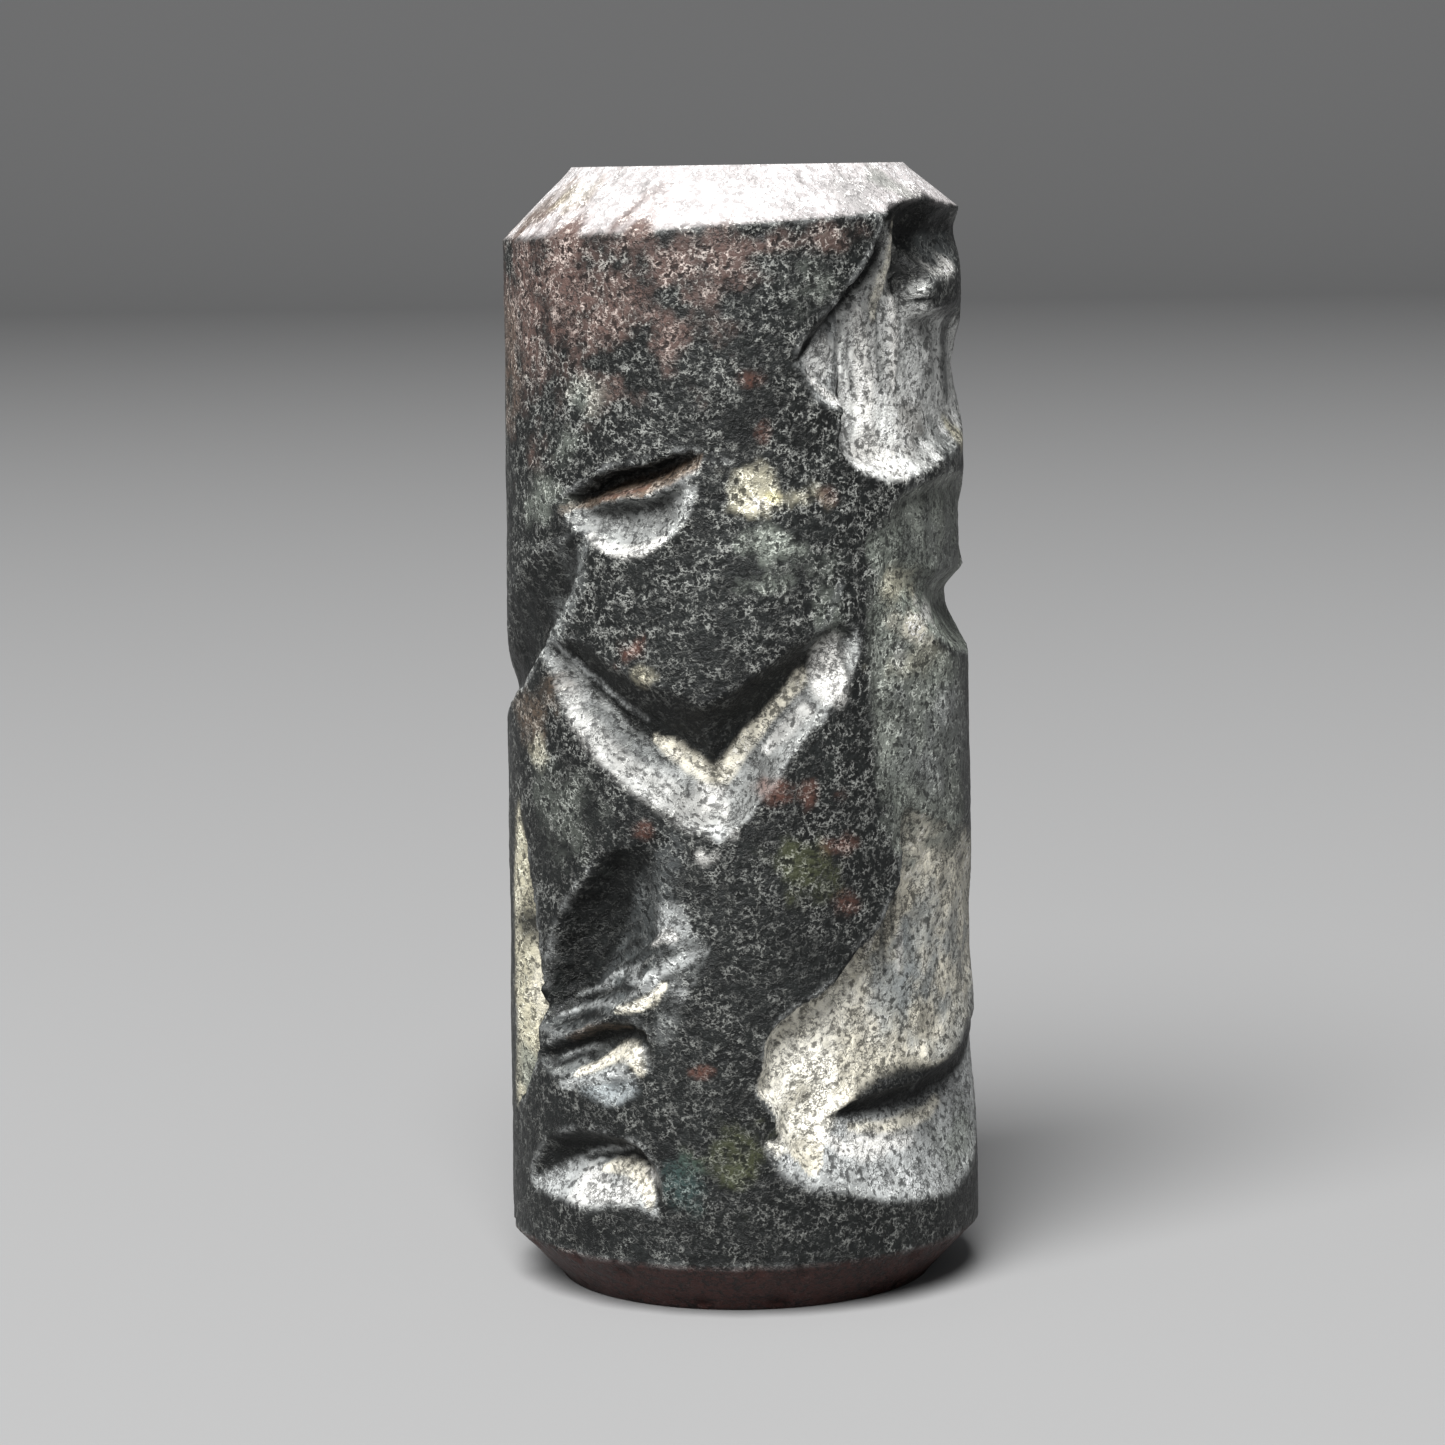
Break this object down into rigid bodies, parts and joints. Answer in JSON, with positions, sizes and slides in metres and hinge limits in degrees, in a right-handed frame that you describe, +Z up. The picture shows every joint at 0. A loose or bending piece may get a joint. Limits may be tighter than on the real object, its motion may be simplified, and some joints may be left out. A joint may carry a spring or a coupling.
{
  "type": "cylinder seal",
  "caption": "Small dark stone cylinder seal with beveled ends, a lengthwise bore and deep carving all round, standing on its flat base.",
  "frame": {"origin": "middle of the box's underside, which is the middle of the flat base", "axes": "+Z up along the seal's own axis, -Y out of the face that the picture shows"},
  "size_m": [0.0108, 0.0108, 0.0252],
  "materials": {
    "stone": "worn, near-black mottled stone with pale grey cut faces"
  },
  "bodies": {
    "root": {"cylinder_seal": "stone"}
  },
  "joints": []
}
